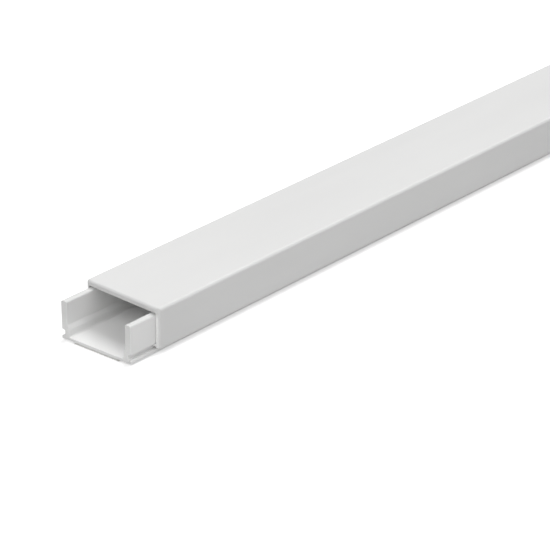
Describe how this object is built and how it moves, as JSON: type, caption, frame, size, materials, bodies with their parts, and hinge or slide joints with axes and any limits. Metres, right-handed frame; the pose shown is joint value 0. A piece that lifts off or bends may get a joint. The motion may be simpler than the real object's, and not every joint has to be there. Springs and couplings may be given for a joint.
{
  "type": "adhesive cable trunking",
  "caption": "Straight white plastic cable trunking: a channel with outward-jogged walls, an adhesive strip with liner below, and a flat clip-on lid that slides along it.",
  "frame": {"origin": "middle of the underside of the release liner, the face that goes against the wall", "axes": "+X along the trunking, from the end that shows the open channel towards the end that the lid overhangs; +Y across it; +Z out of the wall, towards the lid"},
  "size_m": [1.0085, 0.0222, 0.0107],
  "materials": {
    "white_pvc": "satin extruded",
    "foam_tape": "thin foam with adhesive on both faces",
    "liner_paper": "white coated release paper"
  },
  "bodies": {
    "base": {"base_channel": "white_pvc", "adhesive_tape": "foam_tape", "release_liner": "liner_paper"},
    "lid": {"lid": "white_pvc"}
  },
  "joints": [
    {"name": "lid_slide", "type": "slide", "parent": "base", "child": "lid", "axis": [1, 0, 0], "range_m": [-0.9085, 0.8915]}
  ]
}
